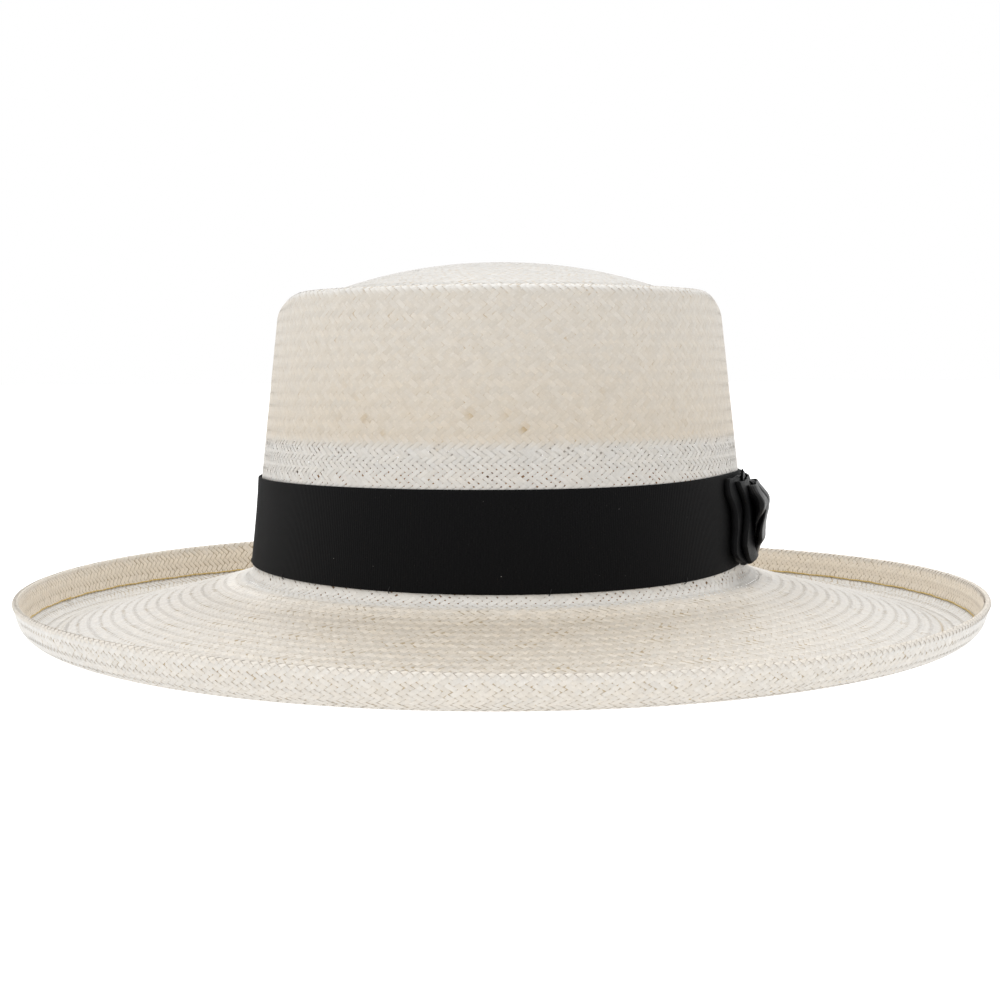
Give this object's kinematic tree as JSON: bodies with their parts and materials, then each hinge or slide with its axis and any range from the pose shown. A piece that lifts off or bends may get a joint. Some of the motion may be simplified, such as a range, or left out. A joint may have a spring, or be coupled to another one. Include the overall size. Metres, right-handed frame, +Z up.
{
  "type": "panama hat",
  "caption": "Wide-brimmed woven straw hat with an oval telescope crown, curled-up brim edge, black grosgrain band with a side bow, and a leather sweatband.",
  "frame": {"origin": "under the middle of the crown, on the surface that the brim rests on", "axes": "+X to the wearer's left, where the bow is; +Y to the back of the hat; +Z up through the crown"},
  "size_m": [0.3268, 0.373, 0.1247],
  "materials": {
    "straw": "woven toquilla straw, 2/2 herringbone, light gloss",
    "edge_wire": "clear spring filament",
    "hem_thread": "golden cotton thread",
    "ribbon": "black grosgrain, fine vertical ribs",
    "tack_thread": "black sewing thread",
    "bow_ribbon": "black grosgrain with a satin sheen at its folds",
    "sweatband_leather": "tan sheepskin, fine grain",
    "reed_tape": "cotton tape over a plastic reed",
    "sweat_thread": "ecru sewing thread",
    "seam_leather": "brown leather, fine grain",
    "seam_ribbon": "narrow black ribbon",
    "tag_cloth": "white woven tape, blank"
  },
  "bodies": {
    "root": {"woven_body": "straw", "brim_wire": "edge_wire", "hem_thread": "hem_thread", "ribbon_band": "ribbon", "band_tacks": "tack_thread", "bow_rear_loop": "bow_ribbon", "bow_middle_loop": "bow_ribbon", "bow_top_loop": "bow_ribbon", "bow_knot": "bow_ribbon", "bow_tail": "bow_ribbon", "sweatband": "sweatband_leather", "sweatband_reed": "reed_tape", "sweatband_stitching": "sweat_thread", "sweatband_seam": "seam_leather", "seam_bow": "seam_ribbon", "size_tag": "tag_cloth"}
  },
  "joints": []
}
